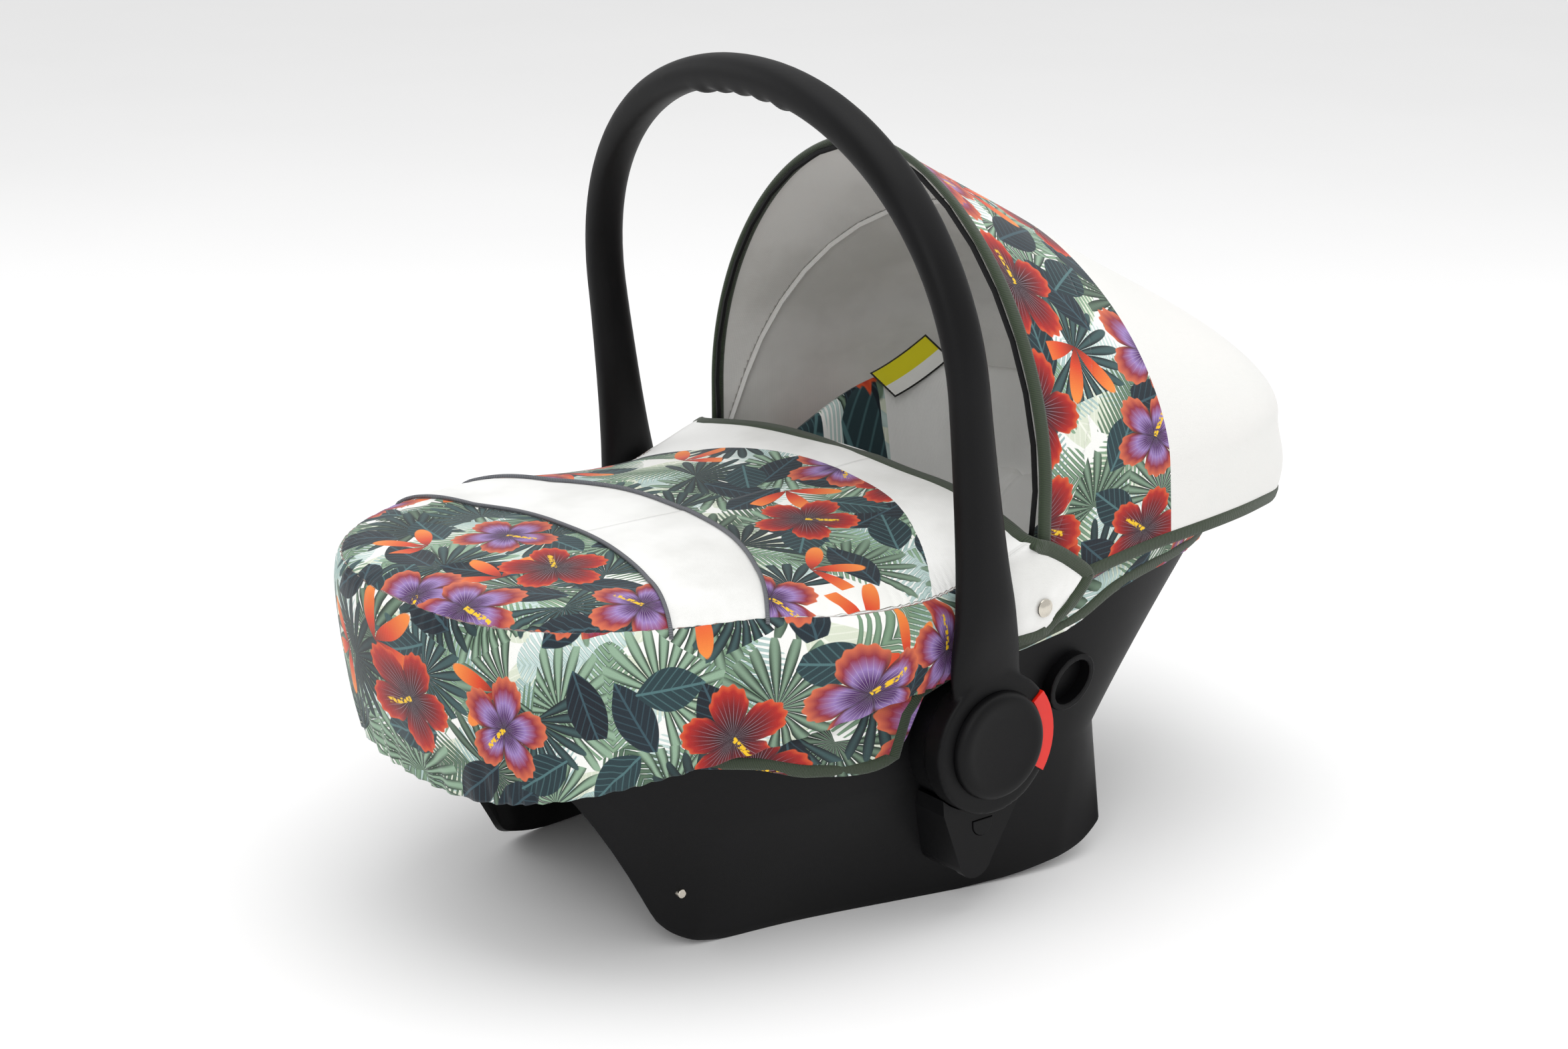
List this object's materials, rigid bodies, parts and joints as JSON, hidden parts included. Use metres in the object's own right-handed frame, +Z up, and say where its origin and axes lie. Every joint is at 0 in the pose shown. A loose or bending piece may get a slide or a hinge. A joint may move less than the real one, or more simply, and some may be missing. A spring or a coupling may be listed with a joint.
{
  "type": "infant car seat",
  "caption": "Rear-facing infant carrier with rocker shell, swinging carry handle, side releases, folding hood, harness and buttoned-on foot cover.",
  "frame": {"origin": "on the floor, under the middle of the overall length and width", "axes": "+Z up, -Y towards the foot end, +X towards the occupant's left"},
  "size_m": [0.4304, 0.7401, 0.5681],
  "materials": {
    "black_plastic": "fine-grained matt black moulding",
    "nickel_steel": "satin nickel plate",
    "printed_fabric": null,
    "white_fabric": "smooth white coated fabric",
    "black_webbing": "woven polyester webbing",
    "red_plastic": "satin red moulding",
    "yellow_label": "plain woven label with no lettering"
  },
  "bodies": {
    "seat": {"seat_shell": "black_plastic", "seat_cover": "printed_fabric", "body_pad": "printed_fabric", "head_pad": "white_fabric", "side_bolster_left": "white_fabric", "side_bolster_right": "white_fabric", "blank_label": "yellow_label", "buckle_body": "black_plastic", "tongue_left": "nickel_steel", "tongue_right": "nickel_steel", "shoulder_strap_left": "black_webbing", "shoulder_strap_right": "black_webbing", "crotch_strap": "black_webbing", "hub_housing_left": "black_plastic", "hub_housing_right": "black_plastic", "pivot_bolt_left": "nickel_steel", "pivot_bolt_right": "nickel_steel", "lock_spring_left": "nickel_steel", "lock_spring_right": "nickel_steel", "adapter_socket_left": "black_plastic", "adapter_socket_right": "black_plastic", "belt_guide_left": "black_plastic", "belt_guide_right": "black_plastic", "belt_pin_left": "nickel_steel", "belt_pin_right": "nickel_steel", "foot_pin_left": "nickel_steel", "foot_pin_right": "nickel_steel", "bow_bracket_left": "black_plastic", "bow_bracket_right": "black_plastic", "hood_rear_panel": "white_fabric", "foot_cover": "printed_fabric", "snap_left": "nickel_steel", "snap_right": "nickel_steel"},
    "handle": {"carry_handle": "black_plastic", "hub_cap_left": "black_plastic", "hub_cap_right": "black_plastic"},
    "release_left": {"handle_release_left": "red_plastic", "lock_gear_left": "nickel_steel"},
    "adapter_catch_left": {"adapter_button_left": "black_plastic"},
    "release_right": {"handle_release_right": "red_plastic", "lock_gear_right": "nickel_steel"},
    "adapter_catch_right": {"adapter_button_right": "black_plastic"},
    "buckle_press": {"buckle_button": "red_plastic"},
    "hood_middle": {"middle_bow": "black_plastic"},
    "hood_front": {"front_bow": "black_plastic", "hood_front_panel": "printed_fabric"}
  },
  "joints": [
    {"name": "handle_pivot", "type": "hinge", "parent": "seat", "child": "handle", "pos_m": [0, -0.025, 0.13], "axis": [1, 0, 0], "range_deg": [-95, 98]},
    {"name": "hood_fold", "type": "hinge", "parent": "seat", "child": "hood_middle", "pos_m": [0, 0.028, 0.2245], "axis": [-1, 0, 0], "range_deg": [0, 38], "deforming": ["hood_rear_panel"]},
    {"name": "hood_front_fold", "type": "hinge", "parent": "hood_middle", "child": "hood_front", "pos_m": [0, 0.028, 0.2245], "axis": [-1, 0, 0], "range_deg": [0, 18], "deforming": ["hood_front_panel"]},
    {"name": "release_press_left", "type": "slide", "parent": "handle", "child": "release_left", "axis": [-1, 0, 0], "range_m": [0, 0.0045], "stiffness_N_per_m": 900, "springref_m": -0.003, "deforming": ["lock_spring_left"]},
    {"name": "adapter_press_left", "type": "slide", "parent": "seat", "child": "adapter_catch_left", "axis": [-1, 0, 0], "range_m": [0, 0.003], "stiffness_N_per_m": 700, "springref_m": -0.002},
    {"name": "release_press_right", "type": "slide", "parent": "handle", "child": "release_right", "axis": [1, 0, 0], "range_m": [0, 0.0045], "stiffness_N_per_m": 900, "springref_m": -0.003, "deforming": ["lock_spring_right"]},
    {"name": "adapter_press_right", "type": "slide", "parent": "seat", "child": "adapter_catch_right", "axis": [1, 0, 0], "range_m": [0, 0.003], "stiffness_N_per_m": 700, "springref_m": -0.002},
    {"name": "buckle_press", "type": "slide", "parent": "seat", "child": "buckle_press", "axis": [0, 0, -1], "range_m": [0, 0.003], "stiffness_N_per_m": 2500, "springref_m": -0.003}
  ],
  "couplings": [
    {"joint": "hood_front_fold", "follows": "hood_fold", "ratio": 0.47368}
  ]
}
